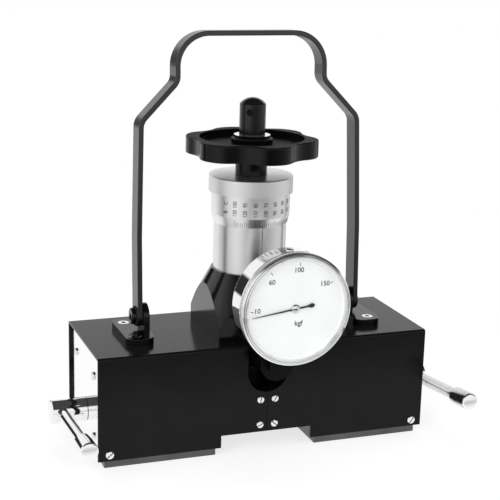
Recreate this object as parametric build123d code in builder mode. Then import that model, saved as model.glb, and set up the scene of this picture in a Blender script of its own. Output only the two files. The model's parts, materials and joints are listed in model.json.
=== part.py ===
from build123d import *

import os
from math import cos, radians, sin, sqrt, tan

# A portable hardness tester: a magnetic base, a screw-driven load head and a dial gauge.
# Millimetres. +X is to the right, -Y is the gauge side, +Z is up.
# The origin is the test point, on the surface that the base stands on.

# Fits and gaps
run_fit = 0.05
free_gap = 0.3
sheet_gap = 0.1
screw_clear = 0.2
thread_end = 1.0

# Travel of the load head and what it leaves spare
travel = 10.0
tip_margin = 0.1
slot_margin = 2.0
drum_stop_gap = 0.5
cell_floor_gap = 2.5
cell_roof_gap = 7.5

# Cover
base_length = 260.0
base_width = 96.0
sheet = 1.5
bend_inside = 0.5
seam_gap = 0.3
foot_drop = 5.5
notch_half = 36.0
notch_edge = 0.4

# Poles, chassis and end plates
pole_height = 70.0
brass_thick = 6.0
chassis_thick = 12.5
plate_thick = 3.0
plate_recess = 2.0
plate_lift = 0.5

# Magnet rotors and levers
rotor_z = 29.2
rotor_bore_r = 23.0
rotor_end_gap = 4.0
shaft_r = 6.0
journal_depth = 6.5
bush_wall = 2.5
bush_flange = 2.5
bush_flange_thick = 4.0
hub_r = 9.0
hub_length = 26.7
hub_chamfer = 1.0
rod_r = 4.55
rod_stand = 19.0
rod_grip = 7.4
knob_r = 6.5
knob_start = 68.6
knob_length = 29.2
knob_dome = 6.2
knob_chamfer = 1.0
left_lever_angle = 3.5
right_lever_angle = 6.2

# Column block
block_width = 80.0
block_bottom = 15.5
column_shelf = 13.0
column_rise = 47.5
rim_step = 1.5
cone_half_angle = 28.5
column_round = 0.5
cell_bore_r = 22.0
spigot_step = 3.5
spigot_depth = 14.0
slot_r = 16.0

# Sleeve and nut
sleeve_r = 27.5
sleeve_height = 53.5
sleeve_floor = 14.5
sleeve_chamfer = 0.8
nut_wall = 8.0
nut_recess = 7.0

# Drum
drum_roof = 8.0
drum_edge = 0.3
drum_wall = 1.9
drum_step = 2.1
drum_ring_height = 12.5
drum_scale_height = 16.4
drum_bevel_height = 6.9
drum_chamfer = 0.6
drum_play = 0.2
collar_step = 4.0
collar_thick = 5.0

# Spindle
spindle_r = 10.0
post_step = 0.15
post_height = 23.1
dome_height = 4.8
cross_hole_r = 2.5
cross_hole_drop = 5.6
cross_hole_angle = -32.5
foot_step = 3.0
foot_thick = 6.0

# Handwheel
wheel_r = 50.0
wheel_thick = 13.1
wheel_lift = 14.7
wheel_hub_wall = 2.0
wheel_rim = 10.5
dish_floor = 7.6
boss_r = 15.7
boss_height = 5.9
boss_chamfer = 1.3
boss_taper = 2.1
bright_washer_thick = 1.6
scallop_count = 6
scallop_angle = 2.0
scallop_r = 26.5
scallop_out = 20.0
scallop_blend = 18.0
wheel_round = 1.0
wheel_pin_r = 2.0
pin_inset = 0.4

# Load cell and what it carries
arm_rise = 4.5
arm_r = 13.0
arm_seat_edge = 0.25
arm_front = 66.0
arm_spigot_r = 5.0
arm_spigot_depth = 6.5
seat_margin = 3.5
oil_r = 1.5
piston_r = 14.0
piston_head = 12.0
piston_bore_depth = 34.0
oil_depth = 4.0
seal_groove = 2.0
seal_width = 4.0
piston_rod_r = 10.0
piston_rod_drop = 6.0
cap_r = 18.0
cap_thick = 6.0
keeper_r = 18.0
keeper_play = 0.2
ball_r = 4.0
ball_drop = 15.0
ball_seat = 1.5
holder_r = 9.0
holder_shank_r = 5.0
holder_shank = 14.0
holder_nose_r = 4.0
holder_nose = 3.0
holder_screw_r = 1.5
holder_screw_inset = 0.45
indenter_shank_r = 2.0
indenter_shank = 6.5
indenter_r = 2.5
indenter_stick_out = 2.9
indenter_half_angle = 60.0

# Gauge
gauge_rise = 51.0
stem_half = 8.2
stem_thick = 6.0
stem_below = 3.0
stem_above = 15.0
case_r = 39.0
case_wall = 2.0
case_depth = 25.5
bezel_wall = 1.9
bezel_lap = 4.5
bezel_lip = 1.0
bezel_lip_width = 0.9
bezel_round = 0.8
crystal_thick = 1.2
ring_flange = 0.7
ring_front_width = 0.3
ring_back_width = 1.7
ring_depth = 2.6
dial_thick = 1.0
dial_hole_r = 1.5
staff_r = 0.6
pinion_r = 2.5
pointer_gap = 0.6
pointer_thick = 0.5
pointer_length = 32.5
pointer_tail = 14.5
pointer_half = 0.6
pointer_tip_half = 0.15
spade_half = 1.6
spade_back = 2.4
spade_length = 5.0
spade_tip_half = 0.6
pointer_hub_r = 2.6
pointer_hub_height = 1.4
pointer_drop_angle = 8.0
movement_r = 14.0
movement_plate = 1.5
movement_depth = 11.5
pillar_r = 1.6
pillar_inset = 3.0
tube_inset = 7.5
tube_thick = 3.0
tube_width = 8.0
tube_sweep_angle = 265.0
tube_stand = 2.0
socket_half = 5.0
socket_height = 8.0

# Carrying handle
pivot_inset = 42.2
pivot_height = 15.1
strip_thick = 3.8
strip_width = 16.0
handle_lean_angle = 3.0
leg_straight = 60.0
leg_draw_in = 2.2
shoulder_height = 145.3
shoulder_in = 27.9
shoulder_rise = 29.0
grip_rise = 34.6
leg_bend = 200.0
shoulder_bend = 11.0
neck_bend = 10.0
grip_bend = 24.0
strip_round = 0.6
pivot_r = 4.0
pivot_washer_width = 3.5
pivot_washer_thick = 0.6
bolt_head_r = 6.25
bolt_head_thick = 3.1

# Handle brackets
ear_thick = 4.5
ear_half = 9.5
bracket_depth = 54.0
bracket_out = 21.7
bracket_thick = 5.0
bracket_corner = 8.0
bracket_round = 0.6
bracket_screw_in = 8.3
bracket_screw_end = 9.7

# Screws
dome_share = 0.6
pan_head = 2.0
pan_shank_r = 2.0
pan_length = 9.0
corner_head_r = 3.25
corner_inset = 8.5
corner_lift = 5.2
seam_head_r = 2.9
seam_x = 5.75
seam_lift = 5.7
seam_drop = 5.5
bracket_head_r = 4.4
bracket_shank_r = 2.5
bracket_screw_length = 14.0
chassis_head_r = 4.5
chassis_shank_r = 2.5
chassis_screw_length = 24.0
chassis_screw_near = 15.0
chassis_screw_far = 13.0
chassis_screw_edge = 16.4
column_screw_side = 14.0
column_screw_edge = 5.5
column_head_r = 4.25
column_head = 5.0
column_shank_r = 2.5
column_screw_sink = 6.0
column_screw_grip = 9.0
plate_head_r = 3.0
plate_head = 1.6
plate_screw_edge = 18.4
plate_screw_low = 18.0
plate_screw_drop = 5.0
case_screw_r = 3.0
case_screw_head = 1.9
case_screw_shank_r = 1.4
case_screw_length = 4.5
case_screw_flat = 0.5
case_screw_back = 10.0

# Base: places that follow
cover_y = base_width / 2
column_side = base_width - 2 * column_shelf
inside_y = cover_y - sheet
pole_y = inside_y - sheet_gap
chassis_top = pole_height + chassis_thick
cover_top = chassis_top + sheet
plate_out = base_length / 2 - plate_recess
plate_in = plate_out - plate_thick
pole_in = block_width / 2
rotor_r = rotor_bore_r - free_gap
bush_r = shaft_r + run_fit + bush_wall
hub_in = plate_out + free_gap
rod_x = plate_out + rod_stand

# Column, drum and handwheel: places that follow
column_top = cover_top + column_rise
spigot_r = sleeve_r - spigot_step
spigot_floor = column_top - spigot_depth
rim_r = sleeve_r + rim_step
sleeve_top = column_top + sleeve_height
nut_r = spindle_r + nut_wall
nut_bottom = column_top + sleeve_floor
drum_inside_r = sleeve_r + free_gap
drum_ceiling = sleeve_top + travel + drum_stop_gap
drum_top = drum_ceiling + drum_roof
collar_r = spindle_r + collar_step
post_r = spindle_r - post_step
foot_r = spindle_r + foot_step
wheel_hub_r = spindle_r + wheel_hub_wall
wheel_hub_bottom = drum_top + drum_play
wheel_bottom = wheel_hub_bottom + wheel_lift
wheel_floor = wheel_bottom + dish_floor
boss_top = wheel_floor + boss_height
boss_top_r = boss_r - boss_taper
post_bottom = boss_top + bright_washer_thick
post_top = post_bottom + post_height

# Load cell: places that follow
cell_r = cell_bore_r - run_fit
cell_top = spigot_floor - cell_roof_gap
cell_bottom = block_bottom + travel + cell_floor_gap
arm_z = pole_height + arm_rise
arm_seat = sqrt(cell_r**2 - (arm_r + arm_seat_edge) ** 2)
slot_low = arm_z - travel - slot_margin
ball_z = cell_top - ball_drop
pocket_floor = ball_z - ball_seat
foot_bottom = ball_z + ball_seat
foot_top = foot_bottom + foot_thick
keeper_bottom = foot_top + keeper_play
piston_ceiling = cell_bottom + piston_bore_depth
piston_top = piston_ceiling - oil_depth
piston_shoulder = piston_top - piston_head
piston_bottom = cell_bottom - piston_rod_drop
seal_bottom = piston_top - (piston_head + seal_width) / 2
tip_z = travel + tip_margin
nose_z = tip_z + indenter_stick_out

# Gauge: places that follow
gauge_z = arm_z + gauge_rise
stem_front = arm_front + stem_thick
case_floor = stem_front + case_wall
case_front = stem_front + case_depth
bezel_r = case_r + bezel_wall
bezel_back = case_front - bezel_lap
flange_back = case_front + free_gap
crystal_r = case_r
crystal_back = flange_back + ring_flange
crystal_front = crystal_back + crystal_thick
bezel_front = crystal_front + bezel_lip
bezel_lip_r = crystal_r - bezel_lip_width
dial_r = case_r - case_wall - free_gap
ring_back = crystal_back - ring_depth
pointer_back = ring_back + pointer_gap
pointer_front = pointer_back + pointer_thick
tube_circle_r = case_r - case_wall - tube_inset
socket_z = gauge_z - tube_circle_r

# Handle: places that follow
pivot_x = base_length / 2 - pivot_inset
pivot_z = cover_top + pivot_height
leg_in = pivot_x - strip_thick / 2
leg_out = pivot_x + strip_thick / 2
ear_out = leg_in - pivot_washer_thick
ear_in = ear_out - ear_thick
bracket_x = ear_in + bracket_out - bracket_screw_in
bracket_screw_y = bracket_depth / 2 - bracket_screw_end
bracket_top = cover_top + bracket_thick

sides = {"left": -1, "right": 1}
ends = {"front": -1, "rear": 1}
lever_angle = {"left": left_lever_angle, "right": right_lever_angle}
wall_points = [(seam_x, block_bottom + seam_lift), (seam_x, slot_low - slot_r - seam_drop)]
corner_point = (base_length / 2 - corner_inset, foot_drop + corner_lift)
chassis_points = [
    (pole_in + chassis_screw_near, pole_y - chassis_screw_edge),
    (plate_in - chassis_screw_far, pole_y - chassis_screw_edge),
]
plate_points = [
    (pole_y - plate_screw_edge, plate_screw_low),
    (pole_y - plate_screw_edge, pole_height - plate_screw_drop),
]
gauge_axis = Axis((0, 0, gauge_z), (0, 1, 0))
rotor_axis = Axis((0, 0, rotor_z), (1, 0, 0))
gauge_section = Plane.XY.offset(gauge_z)

os.makedirs("parts", exist_ok=True)


def save(piece, name):
    """Label a finished piece and write it under its own name."""
    piece.part.label = name
    export_step(piece.part, f"parts/{name}.step")


def both_signs(points):
    """Every point mirrored in both axes."""
    return [(u * x, v * y) for x, y in points for u in (-1, 1) for v in (-1, 1)]


def outline(plane, points):
    """A straight-sided face on a plane."""
    with BuildSketch(plane) as face:
        with BuildLine():
            Polyline(*points, close=True)
        make_face()
    return face.sketch


def discs(plane, radius, points=((0, 0),)):
    """Round faces on a plane, one at each point."""
    with BuildSketch(plane) as face:
        with Locations(*points):
            Circle(radius)
    return face.sketch


def front_plane(y):
    """An upright plane facing the front, at a distance y in front of the column axis."""
    return Plane.XZ.offset(y)


def wall_planes(points):
    """Planes on the outside of the front and back walls, at (x, z) points."""
    return [Plane((x, face * cover_y, z), z_dir=(0, face, 0)) for x, z in points for face in (-1, 1)]


def pan_screw(head_r, head_h, shank_r, length):
    """A screw with a domed head, standing on the plane under its head."""
    with BuildPart() as screw:
        extrude(discs(Plane.XY, head_r), amount=head_h)
        fillet(screw.edges().sort_by(Axis.Z)[-1], head_h * dome_share)
        extrude(discs(Plane.XY, shank_r), amount=-length)
    return screw.part


def flush_screw(head_r, shank_r, length):
    """A countersunk screw whose head is level with the plane."""
    with BuildPart() as screw:
        cone = [(0, 0), (head_r, 0), (shank_r, shank_r - head_r), (shank_r, -length), (0, -length)]
        revolve(outline(Plane.XZ, cone), axis=Axis.Z)
    return screw.part


def fasteners(screw, planes):
    """A group of like fasteners, one on each plane."""
    with BuildPart() as group:
        with Locations(*planes):
            add(screw)
    return group


# Base: covers, chassis, poles and end plates
def cover(side):
    """Half of the bent sheet cover, open below and at its end."""
    seam_plane = Plane.YZ.offset(side * seam_gap / 2)
    length = side * (base_length - seam_gap) / 2
    with BuildPart() as piece:
        with BuildSketch(seam_plane):
            with Locations((0, foot_drop)):
                Rectangle(base_width, cover_top - foot_drop, align=(Align.CENTER, Align.MIN))
            fillet(vertices().group_by(Axis.Y)[-1], bend_inside + sheet)
        extrude(amount=length)
        with BuildSketch(seam_plane):
            with Locations((0, foot_drop)):
                Rectangle(2 * inside_y, chassis_top - foot_drop, align=(Align.CENTER, Align.MIN))
            fillet(vertices().group_by(Axis.Y)[-1], bend_inside)
        extrude(amount=length, mode=Mode.SUBTRACT)
        # Gap under the middle for the test piece
        with BuildSketch(Plane.XZ):
            with Locations((0, foot_drop)):
                notch_height = block_bottom - notch_edge - foot_drop
                Rectangle(2 * notch_half, notch_height, align=(Align.CENTER, Align.MIN))
        extrude(amount=base_width, both=True, mode=Mode.SUBTRACT)
        # Opening round the column
        with BuildSketch(Plane.XY.offset(chassis_top)):
            Rectangle(column_side + 2 * sheet_gap, column_side + 2 * sheet_gap)
        extrude(amount=2 * sheet, mode=Mode.SUBTRACT)
        # Slot that the gauge arm slides in
        with BuildSketch(Plane.XZ):
            with Locations((0, slot_low)):
                Circle(slot_r)
                Rectangle(2 * slot_r, cover_top, align=(Align.CENTER, Align.MIN))
        extrude(amount=base_width, mode=Mode.SUBTRACT)
        # Screw holes
        holes = [(side * x, z) for x, z in wall_points + [corner_point]]
        extrude(
            discs(Plane.XZ, pan_shank_r + screw_clear, holes),
            amount=base_width,
            both=True,
            mode=Mode.SUBTRACT,
        )
        holes = [(side * bracket_x, end * bracket_screw_y) for end in (-1, 1)]
        extrude(
            discs(Plane.XY.offset(chassis_top), bracket_shank_r + screw_clear, holes),
            amount=2 * sheet,
            mode=Mode.SUBTRACT,
        )
    return piece


for name, side in sides.items():
    save(cover(side), f"{name}_cover")

corner_planes = wall_planes([(side * corner_point[0], corner_point[1]) for side in (-1, 1)])
corner_screw = pan_screw(corner_head_r, pan_head, pan_shank_r, pan_length)
save(fasteners(corner_screw, corner_planes), "corner_screws")

seam_planes = wall_planes([(side * x, z) for x, z in wall_points for side in (-1, 1)])
seam_screw = pan_screw(seam_head_r, pan_head, pan_shank_r, pan_length)
save(fasteners(seam_screw, seam_planes), "seam_screws")

column_points = both_signs([(pole_in - column_screw_side, inside_y - column_screw_edge)])
bracket_points = both_signs([(bracket_x, bracket_screw_y)])
chassis_plane = Plane.XY.offset(chassis_top)
with BuildPart() as chassis_plate:
    with BuildSketch(Plane.XY.offset(pole_height)):
        Rectangle(2 * plate_in, 2 * pole_y)
        Rectangle(column_side + 2 * sheet_gap, column_side + 2 * sheet_gap, mode=Mode.SUBTRACT)
        Rectangle(2 * slot_r, base_width, align=(Align.CENTER, Align.MAX), mode=Mode.SUBTRACT)
    extrude(amount=chassis_thick)
    long_edges = chassis_plate.edges().filter_by(Axis.X).group_by(Axis.Z)[-1].group_by(Axis.Y)
    chamfer(long_edges[0] + long_edges[-1], bend_inside)
    with Locations(*[(x, y, chassis_top) for x, y in both_signs(chassis_points)]):
        CounterSinkHole(
            chassis_shank_r + run_fit, chassis_head_r + run_fit, counter_sink_angle=90
        )
    extrude(
        discs(chassis_plane, bracket_shank_r + run_fit, bracket_points),
        amount=sheet + bracket_thick - bracket_screw_length,
        mode=Mode.SUBTRACT,
    )
    extrude(
        discs(Plane.XY.offset(pole_height), column_shank_r + run_fit, column_points),
        amount=column_screw_grip,
        mode=Mode.SUBTRACT,
    )
save(chassis_plate, "chassis_plate")

chassis_screw = flush_screw(chassis_head_r, chassis_shank_r, chassis_screw_length)
chassis_planes = [Plane((x, y, chassis_top)) for x, y in both_signs(chassis_points)]
save(fasteners(chassis_screw, chassis_planes), "chassis_screws")


def pole(side, end):
    """A steel pole shoe, bored for the magnet rotor."""
    inner = Plane.YZ.offset(side * pole_in)
    length = side * (plate_in - pole_in)
    face = Plane((side * corner_point[0], end * pole_y, corner_point[1]), z_dir=(0, end, 0))
    tap = pan_length - sheet
    with BuildPart() as piece:
        with BuildSketch(inner):
            with Locations((end * (pole_y + brass_thick / 2) / 2, pole_height / 2)):
                Rectangle(pole_y - brass_thick / 2, pole_height)
            with Locations((0, rotor_z)):
                Circle(rotor_bore_r, mode=Mode.SUBTRACT)
        extrude(amount=length)
        extrude(discs(face, pan_shank_r + run_fit), amount=-tap, mode=Mode.SUBTRACT)
        top = [(side * x, end * y) for x, y in chassis_points]
        extrude(
            discs(Plane.XY.offset(pole_height), chassis_shank_r + run_fit, top),
            amount=chassis_thick - chassis_screw_length,
            mode=Mode.SUBTRACT,
        )
        outer = [(end * y, z) for y, z in plate_points]
        extrude(
            discs(Plane.YZ.offset(side * plate_in), pan_shank_r + run_fit, outer),
            amount=side * (plate_thick - pan_length),
            mode=Mode.SUBTRACT,
        )
    return piece


for name, side in sides.items():
    for place, end in ends.items():
        save(pole(side, end), f"{name}_{place}_pole")

with BuildPart() as brass_separators:
    for side in (-1, 1):
        with BuildSketch(Plane.YZ.offset(side * pole_in)):
            Rectangle(brass_thick, pole_height, align=(Align.CENTER, Align.MIN))
            with Locations((0, rotor_z)):
                Circle(rotor_bore_r, mode=Mode.SUBTRACT)
        extrude(amount=side * (plate_in - pole_in))
save(brass_separators, "brass_separators")


def end_plate(side):
    """A bright plate that closes one end and carries the shaft bush."""
    inner = Plane.YZ.offset(side * plate_in)
    with BuildPart() as piece:
        with BuildSketch(inner):
            with Locations((0, foot_drop + plate_lift)):
                height = chassis_top - foot_drop - plate_lift - sheet_gap
                Rectangle(2 * pole_y - 2 * sheet_gap, height, align=(Align.CENTER, Align.MIN))
            with Locations((0, rotor_z)):
                Circle(bush_r, mode=Mode.SUBTRACT)
            with Locations(*[(end * y, z) for y, z in plate_points for end in (-1, 1)]):
                Circle(pan_shank_r + screw_clear, mode=Mode.SUBTRACT)
        extrude(amount=side * plate_thick)
    return piece


for name, side in sides.items():
    save(end_plate(side), f"{name}_end_plate")

plate_planes = [
    Plane((side * plate_out, end * y, z), z_dir=(side, 0, 0))
    for y, z in plate_points
    for side in (-1, 1)
    for end in (-1, 1)
]
plate_screw = pan_screw(plate_head_r, plate_head, pan_shank_r, pan_length)
save(fasteners(plate_screw, plate_planes), "end_plate_screws")

with BuildPart() as shaft_bushes:
    for side in (-1, 1):
        inner = Plane.YZ.offset(side * plate_in)
        extrude(discs(inner, bush_r, [(0, rotor_z)]), amount=side * plate_thick)
        extrude(discs(inner, bush_r + bush_flange, [(0, rotor_z)]), amount=-side * bush_flange_thick)
        bore = discs(Plane.YZ, shaft_r + run_fit, [(0, rotor_z)])
        extrude(bore, amount=side * base_length, mode=Mode.SUBTRACT)
save(shaft_bushes, "shaft_bushes")


# Magnet rotors and their levers
def rotor(side):
    """The magnet rotor, pressed on its shaft."""
    inner = pole_in + rotor_end_gap
    length = plate_in - bush_flange_thick - free_gap - inner
    with BuildPart() as piece:
        with BuildSketch(Plane.YZ.offset(side * inner)):
            with Locations((0, rotor_z)):
                Circle(rotor_r)
                Circle(shaft_r, mode=Mode.SUBTRACT)
        extrude(amount=side * length)
    return piece


def lever_plane(side, angle):
    """The plane across a lever, facing along its rod."""
    forward = (0, -cos(radians(angle)), sin(radians(angle)))
    return Plane((side * rod_x, 0, rotor_z), x_dir=(1, 0, 0), z_dir=forward)


def shaft_hub(side, angle):
    """The lever shaft with its hub, cross-drilled for the rod."""
    start = pole_in - journal_depth + free_gap
    finish = hub_in + hub_length
    profile = [
        (start, 0),
        (start, shaft_r),
        (hub_in, shaft_r),
        (hub_in, hub_r),
        (finish - hub_chamfer, hub_r),
        (finish, hub_r - hub_chamfer),
        (finish, 0),
    ]
    with BuildPart() as piece:
        revolve(outline(Plane.XZ, [(side * x, rotor_z + r) for x, r in profile]), axis=rotor_axis)
        hole = discs(lever_plane(side, angle), rod_r)
        extrude(hole, amount=2 * hub_r, both=True, mode=Mode.SUBTRACT)
    return piece


def rod(side, angle):
    """The lever rod, through the hub and into the knob."""
    plane = lever_plane(side, angle)
    back = hub_r - hub_chamfer
    with BuildPart() as piece:
        extrude(discs(plane.offset(-back), rod_r), amount=back + knob_start + rod_grip)
    return piece


def knob(side, angle):
    """A round grip with a domed end, bored for the rod."""
    plane = lever_plane(side, angle)
    with BuildPart() as piece:
        extrude(discs(plane.offset(knob_start), knob_r), amount=knob_length)
        along = Axis(plane.origin, plane.z_dir)
        fillet(piece.faces().sort_by(along)[-1].edges(), knob_dome)
        chamfer(piece.faces().sort_by(along)[0].edges(), knob_chamfer)
        bore = discs(plane.offset(knob_start), rod_r)
        extrude(bore, amount=rod_grip, mode=Mode.SUBTRACT)
    return piece


for name, side in sides.items():
    save(rotor(side), f"{name}_rotor")
    save(shaft_hub(side, lever_angle[name]), f"{name}_shaft_hub")
    save(rod(side, lever_angle[name]), f"{name}_rod")
    save(knob(side, lever_angle[name]), f"{name}_knob")


# Column block, sleeve and nut
cone_r = column_side
cone_bottom = column_top - (cone_r - rim_r) / tan(radians(cone_half_angle))
with BuildPart() as column_block:
    with BuildSketch(Plane.XY.offset(block_bottom)):
        Rectangle(block_width, 2 * inside_y)
    extrude(amount=pole_height - block_bottom)
    with BuildSketch(Plane.XY.offset(pole_height)):
        Rectangle(column_side, column_side)
    extrude(amount=column_top - pole_height)
    fillet(column_block.edges().filter_by(Axis.Z).group_by(Axis.Z)[-1], column_round)
    turned_away = [(rim_r, column_top), (cone_r, column_top), (cone_r, cone_bottom)]
    revolve(outline(Plane.XZ, turned_away), axis=Axis.Z, mode=Mode.SUBTRACT)
    extrude(
        discs(Plane.XY.offset(block_bottom), cell_bore_r),
        amount=spigot_floor - block_bottom,
        mode=Mode.SUBTRACT,
    )
    extrude(discs(Plane.XY.offset(spigot_floor), spigot_r), amount=spigot_depth, mode=Mode.SUBTRACT)
    # Slot for the gauge arm
    with BuildSketch(Plane.XZ):
        with Locations((0, (slot_low + arm_z) / 2)):
            SlotCenterToCenter(arm_z - slot_low, 2 * slot_r, rotation=90)
    extrude(amount=base_width, mode=Mode.SUBTRACT)
    # Journals for the rotor shafts
    for side in (-1, 1):
        journal = discs(Plane.YZ.offset(side * pole_in), shaft_r + run_fit, [(0, rotor_z)])
        extrude(journal, amount=-side * journal_depth, mode=Mode.SUBTRACT)
    # Tapped holes for the seam screws
    for end in (-1, 1):
        holes = [(side * x, z) for x, z in wall_points for side in (-1, 1)]
        extrude(
            discs(front_plane(-end * inside_y), pan_shank_r + run_fit, holes),
            amount=end * (pan_length - sheet),
            mode=Mode.SUBTRACT,
        )
    # Counterbored holes for the screws up into the chassis
    extrude(
        discs(Plane.XY.offset(block_bottom), column_head_r + run_fit, column_points),
        amount=column_screw_sink,
        mode=Mode.SUBTRACT,
    )
    extrude(
        discs(Plane.XY.offset(block_bottom), column_shank_r + run_fit, column_points),
        amount=pole_height - block_bottom,
        mode=Mode.SUBTRACT,
    )
save(column_block, "column_block")

column_screw_length = pole_height + column_screw_grip - thread_end - block_bottom - column_screw_sink
column_screw = pan_screw(column_head_r, column_head, column_shank_r, column_screw_length)
column_planes = [
    Plane((x, y, block_bottom + column_screw_sink), z_dir=(0, 0, -1)) for x, y in column_points
]
save(fasteners(column_screw, column_planes), "column_screws")

with BuildPart() as sleeve:
    profile = [
        (collar_r, spigot_floor),
        (spigot_r, spigot_floor),
        (spigot_r, column_top),
        (sleeve_r, column_top),
        (sleeve_r, sleeve_top - sleeve_chamfer),
        (sleeve_r - sleeve_chamfer, sleeve_top),
        (nut_r, sleeve_top),
        (nut_r, nut_bottom),
        (collar_r, nut_bottom),
    ]
    revolve(outline(Plane.XZ, profile), axis=Axis.Z)
save(sleeve, "sleeve")

with BuildPart() as spindle_nut:
    with BuildSketch(Plane.XY.offset(nut_bottom)):
        Circle(nut_r)
        Circle(spindle_r + run_fit, mode=Mode.SUBTRACT)
    extrude(amount=sleeve_top - nut_recess - nut_bottom)
save(spindle_nut, "spindle_nut")

# Drum with its ring, scale and bevelled edge
with BuildPart() as drum:
    scale_r = drum_inside_r + drum_wall
    ring_r = scale_r + drum_step
    ring_bottom = drum_top - drum_ring_height
    scale_bottom = ring_bottom - drum_scale_height
    bevel_bottom = scale_bottom - drum_bevel_height
    profile = [
        (spindle_r + run_fit, drum_ceiling),
        (drum_inside_r, drum_ceiling),
        (drum_inside_r, bevel_bottom),
        (drum_inside_r + drum_edge, bevel_bottom),
        (scale_r, scale_bottom),
        (scale_r, ring_bottom),
        (ring_r, ring_bottom),
        (ring_r, drum_top - drum_chamfer),
        (ring_r - drum_chamfer, drum_top),
        (spindle_r + run_fit, drum_top),
    ]
    revolve(outline(Plane.XZ, profile), axis=Axis.Z)
save(drum, "drum")

# Spindle with its post and thrust foot
with BuildPart() as spindle:
    post_round = (post_r**2 + dome_height**2) / (2 * dome_height)
    with BuildSketch(Plane.XZ):
        with BuildLine():
            Polyline(
                (0, post_top + dome_height),
                (0, foot_bottom),
                (foot_r, foot_bottom),
                (foot_r, foot_top),
                (spindle_r, foot_top),
                (spindle_r, post_bottom),
                (post_r, post_bottom),
                (post_r, post_top),
            )
            RadiusArc((post_r, post_top), (0, post_top + dome_height), -post_round)
        make_face()
    revolve(axis=Axis.Z)
    with Locations((0, 0, ball_z)):
        Sphere(ball_r + run_fit, mode=Mode.SUBTRACT)
    across = (sin(radians(cross_hole_angle)), -cos(radians(cross_hole_angle)), 0)
    cross_plane = Plane((0, 0, post_top - cross_hole_drop), z_dir=across)
    extrude(discs(cross_plane, cross_hole_r), amount=2 * post_r, mode=Mode.SUBTRACT)
    pin_plane = Plane.YZ.offset(-wheel_hub_r)
    pin_point = [(0, (wheel_hub_bottom + wheel_bottom) / 2)]
    extrude(discs(pin_plane, wheel_pin_r, pin_point), amount=2 * wheel_hub_r, mode=Mode.SUBTRACT)
save(spindle, "spindle")

# Handwheel: a dished rim of six lobes
with BuildPart() as handwheel:
    with BuildSketch(Plane.XY.offset(wheel_bottom)):
        Circle(wheel_r)
        with PolarLocations(wheel_r + scallop_out, scallop_count, start_angle=scallop_angle):
            Circle(scallop_r, mode=Mode.SUBTRACT)
        fillet(vertices(), scallop_blend)
    extrude(amount=wheel_thick)
    fillet(handwheel.faces().filter_by(Plane.XY).edges(), wheel_round)
    dish = discs(Plane.XY.offset(wheel_floor), wheel_r - wheel_rim)
    extrude(dish, amount=wheel_thick, mode=Mode.SUBTRACT)
    profile = [
        (0, wheel_hub_bottom),
        (wheel_hub_r, wheel_hub_bottom),
        (wheel_hub_r, wheel_floor),
        (boss_r, wheel_floor),
        (boss_r, boss_top - boss_chamfer),
        (boss_top_r, boss_top),
        (0, boss_top),
    ]
    revolve(outline(Plane.XZ, profile), axis=Axis.Z)
    bore = discs(Plane.XY.offset(wheel_hub_bottom), spindle_r)
    extrude(bore, amount=boss_top - wheel_hub_bottom, mode=Mode.SUBTRACT)
    extrude(discs(pin_plane, wheel_pin_r, pin_point), amount=2 * wheel_hub_r, mode=Mode.SUBTRACT)
save(handwheel, "handwheel")

with BuildPart() as wheel_washer:
    with BuildSketch(Plane.XY.offset(boss_top)):
        Circle(boss_top_r)
        Circle(spindle_r, mode=Mode.SUBTRACT)
    extrude(amount=bright_washer_thick)
save(wheel_washer, "wheel_washer")

with BuildPart() as wheel_pin:
    pin_length = 2 * (wheel_hub_r - pin_inset)
    extrude(discs(pin_plane.offset(pin_inset), wheel_pin_r, pin_point), amount=pin_length)
save(wheel_pin, "wheel_pin")

with BuildPart() as drum_collar:
    with BuildSketch(Plane.XY.offset(drum_ceiling - collar_thick)):
        Circle(collar_r)
        Circle(spindle_r, mode=Mode.SUBTRACT)
    extrude(amount=collar_thick)
save(drum_collar, "drum_collar")

# Load cell: a sliding cylinder with a spindle pocket above and an oil chamber below
with BuildPart() as load_cell:
    base = Plane.XY.offset(cell_bottom)
    arm_point = [(0, arm_z)]
    extrude(discs(base, cell_r), amount=cell_top - cell_bottom)
    with BuildSketch(front_plane(arm_seat)):
        with Locations((0, arm_z)):
            Rectangle(2 * cell_bore_r, 2 * (arm_r + seat_margin))
    extrude(amount=cell_bore_r, mode=Mode.SUBTRACT)
    spigot = discs(front_plane(arm_seat), arm_spigot_r, arm_point)
    extrude(spigot, amount=-arm_spigot_depth, mode=Mode.SUBTRACT)
    extrude(discs(front_plane(0), oil_r, arm_point), amount=arm_seat, mode=Mode.SUBTRACT)
    oil_way = discs(Plane.XY.offset(piston_ceiling), oil_r)
    extrude(oil_way, amount=arm_z - piston_ceiling, mode=Mode.SUBTRACT)
    extrude(discs(base, piston_r), amount=piston_ceiling - cell_bottom, mode=Mode.SUBTRACT)
    extrude(discs(base, cap_r), amount=cap_thick, mode=Mode.SUBTRACT)
    pocket = discs(Plane.XY.offset(pocket_floor), foot_r + free_gap)
    extrude(pocket, amount=cell_top - pocket_floor, mode=Mode.SUBTRACT)
    keeper_seat = discs(Plane.XY.offset(keeper_bottom), keeper_r)
    extrude(keeper_seat, amount=cell_top - keeper_bottom, mode=Mode.SUBTRACT)
    with Locations((0, 0, ball_z)):
        Sphere(ball_r, mode=Mode.SUBTRACT)
save(load_cell, "load_cell")

with BuildPart() as cell_cap:
    with BuildSketch(Plane.XY.offset(cell_bottom)):
        Circle(cap_r)
        Circle(piston_rod_r, mode=Mode.SUBTRACT)
    extrude(amount=cap_thick)
save(cell_cap, "cell_cap")

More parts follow.
